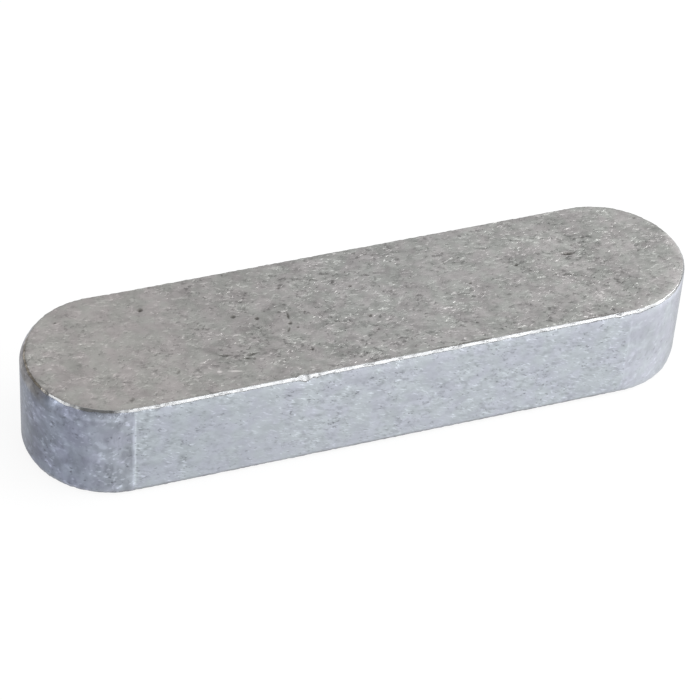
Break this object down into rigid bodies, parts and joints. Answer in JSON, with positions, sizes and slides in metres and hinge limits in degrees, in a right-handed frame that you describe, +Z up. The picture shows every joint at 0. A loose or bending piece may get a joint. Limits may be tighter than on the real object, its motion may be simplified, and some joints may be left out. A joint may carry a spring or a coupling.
{
  "type": "parallel key",
  "caption": "Flat steel bar key with full round ends and broken edges, which lies in the keyways of a shaft and a hub and carries the turning load on its flanks.",
  "frame": {"origin": "middle of the seat, the broad face that lies on the floor of the shaft's keyway", "axes": "+X along the key, +Y across it to the left flank, +Z up from the seat to the back, which stands in the hub's keyway"},
  "size_m": [0.063, 0.016, 0.01],
  "materials": {
    "key_steel": "bare drawn key steel, satin, with fine scratches and small pits; milled round ends"
  },
  "bodies": {
    "root": {"parallel_key": "key_steel"}
  },
  "joints": []
}
